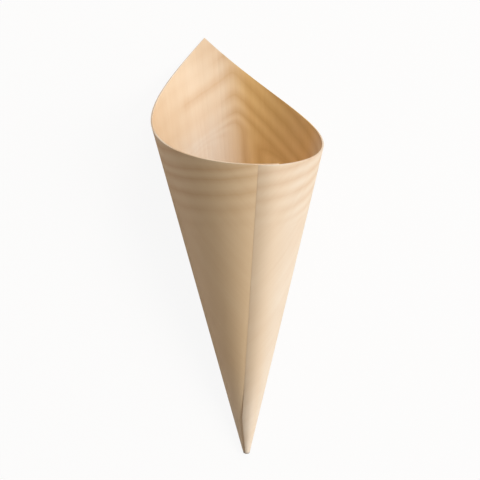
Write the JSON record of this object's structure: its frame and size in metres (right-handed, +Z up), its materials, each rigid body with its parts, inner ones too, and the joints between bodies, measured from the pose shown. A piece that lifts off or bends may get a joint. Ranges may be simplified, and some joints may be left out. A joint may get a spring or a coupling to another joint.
{
  "type": "wooden serving cone",
  "caption": "Serving cone rolled corner first from one square sheet of thin pine veneer, glued along a lap, with a blunt tip and a pointed peak on its open rim; holds small snacks",
  "frame": {"origin": "centre of the bounding box's footprint, on the surface that the cone lies on", "axes": "+X runs along the resting line from the tip to the peak of the rim, so the mouth opens to +X; +Z is up, with the glued lap on top; the outer edge of the lap lies on the +Y side of it"},
  "size_m": [0.1256, 0.0492, 0.0439],
  "materials": {
    "pine_veneer": "bare, unvarnished pine, matt with a faint sheen along the grain"
  },
  "bodies": {
    "root": {"veneer_cone": "pine_veneer"}
  },
  "joints": []
}
